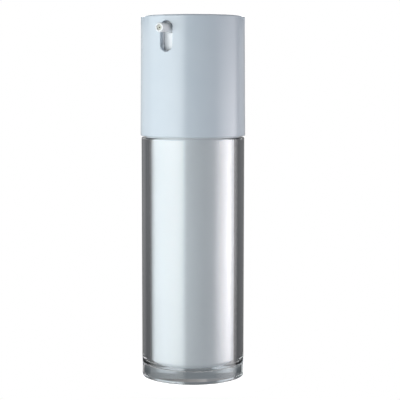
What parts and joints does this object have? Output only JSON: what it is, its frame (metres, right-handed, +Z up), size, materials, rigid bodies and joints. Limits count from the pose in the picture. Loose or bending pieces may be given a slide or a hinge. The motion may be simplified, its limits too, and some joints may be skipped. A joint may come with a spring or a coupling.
{
  "type": "airless pump bottle",
  "caption": "Tall round airless pump bottle: thick clear shell over a pearl reservoir, under a pale sleeve whose press button carries a short spout down an upright slot.",
  "frame": {"origin": "on the bottle's axis, in the plane that it stands on", "axes": "+Z up along the bottle's axis; the spout points to -Y; mirror plane YZ"},
  "size_m": [0.0346, 0.0385, 0.1192],
  "materials": {
    "clear_shell": "polished clear acrylic",
    "pearl_reservoir": "pearl silver-white, semi-gloss",
    "sleeve_white": "pale blue-grey, moulded semi-gloss",
    "liner_white": "moulded satin",
    "spout_white": "white, moulded semi-gloss",
    "insert_beige": "soft beige, matte",
    "follower_white": "waxy white",
    "gasket_grey": "foamed sheet",
    "natural_plastic": "natural, slightly translucent",
    "spring_steel": "bright drawn stainless wire"
  },
  "bodies": {
    "bottle": {"outer_bottle": "clear_shell", "inner_bottle": "pearl_reservoir", "neck_gasket": "gasket_grey", "pump_housing": "natural_plastic", "ball_cage": "natural_plastic", "chamber_cap": "natural_plastic", "snap_collar": "liner_white", "guide_collar": "liner_white", "outer_sleeve": "sleeve_white", "return_spring": "spring_steel"},
    "actuator": {"button_cap": "spout_white", "actuator_core": "spout_white", "nozzle_tip": "spout_white", "nozzle_insert": "insert_beige", "pump_stem": "natural_plastic", "valve_pin": "natural_plastic"},
    "piston": {"pump_piston": "follower_white"},
    "ball": {"inlet_ball": "spring_steel"},
    "follower": {"follower_piston": "follower_white"}
  },
  "joints": [
    {"name": "actuator_press", "type": "slide", "parent": "bottle", "child": "actuator", "axis": [0, 0, -1], "range_m": [0, 0.0055], "stiffness_N_per_m": 1000, "springref_m": -0.006, "deforming": ["return_spring"]},
    {"name": "piston_lag", "type": "slide", "parent": "actuator", "child": "piston", "axis": [0, 0, 1], "range_m": [0, 0.0008]},
    {"name": "ball_lift", "type": "slide", "parent": "bottle", "child": "ball", "axis": [0, 0, 1], "range_m": [0, 0.0008]},
    {"name": "follower_rise", "type": "slide", "parent": "bottle", "child": "follower", "axis": [0, 0, 1], "range_m": [0, 0.069]}
  ]
}
